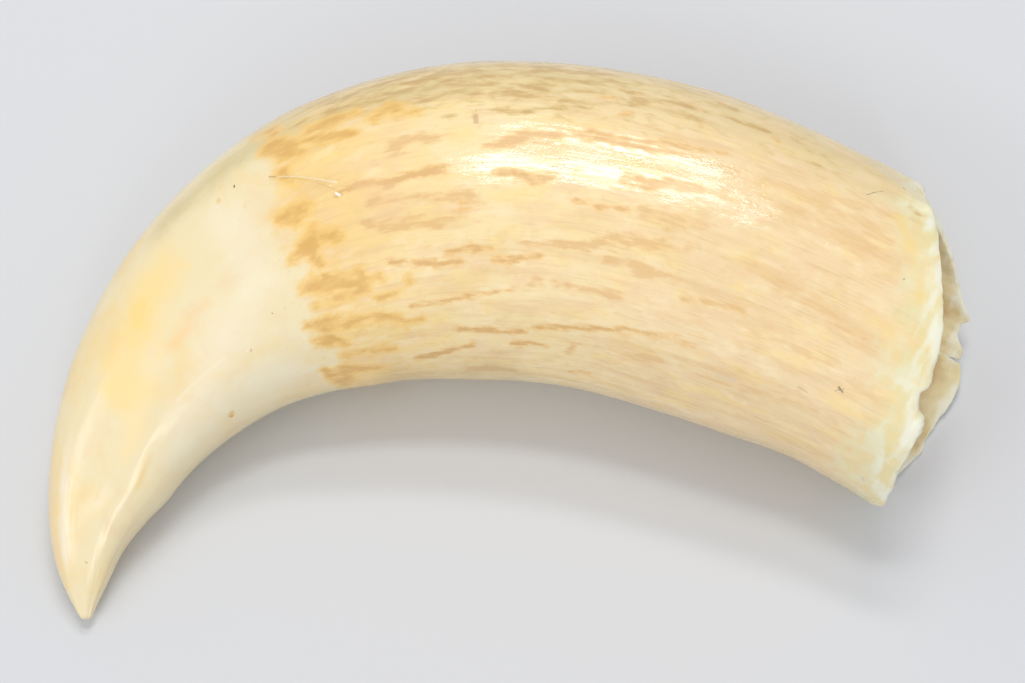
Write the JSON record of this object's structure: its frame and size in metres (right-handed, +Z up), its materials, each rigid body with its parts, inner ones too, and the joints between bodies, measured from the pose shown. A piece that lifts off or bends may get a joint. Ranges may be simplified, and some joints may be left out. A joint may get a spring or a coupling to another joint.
{
  "type": "sperm whale tooth",
  "caption": "Curved polished sperm whale tooth with a blunt tip and a broken, open root, lying on its flat side.",
  "frame": {"origin": "on the surface that the tooth lies on, under the middle of its footprint box", "axes": "+Z up from that surface; +X from the tip end towards the root end, along the longest extent; +Y towards the outer side of the curve"},
  "size_m": [0.1628, 0.0952, 0.0468],
  "materials": {
    "polished_tooth": "polished dentine and cementum, cream to tan with brown streaks, glossy"
  },
  "bodies": {
    "root": {"tooth": "polished_tooth"}
  },
  "joints": []
}
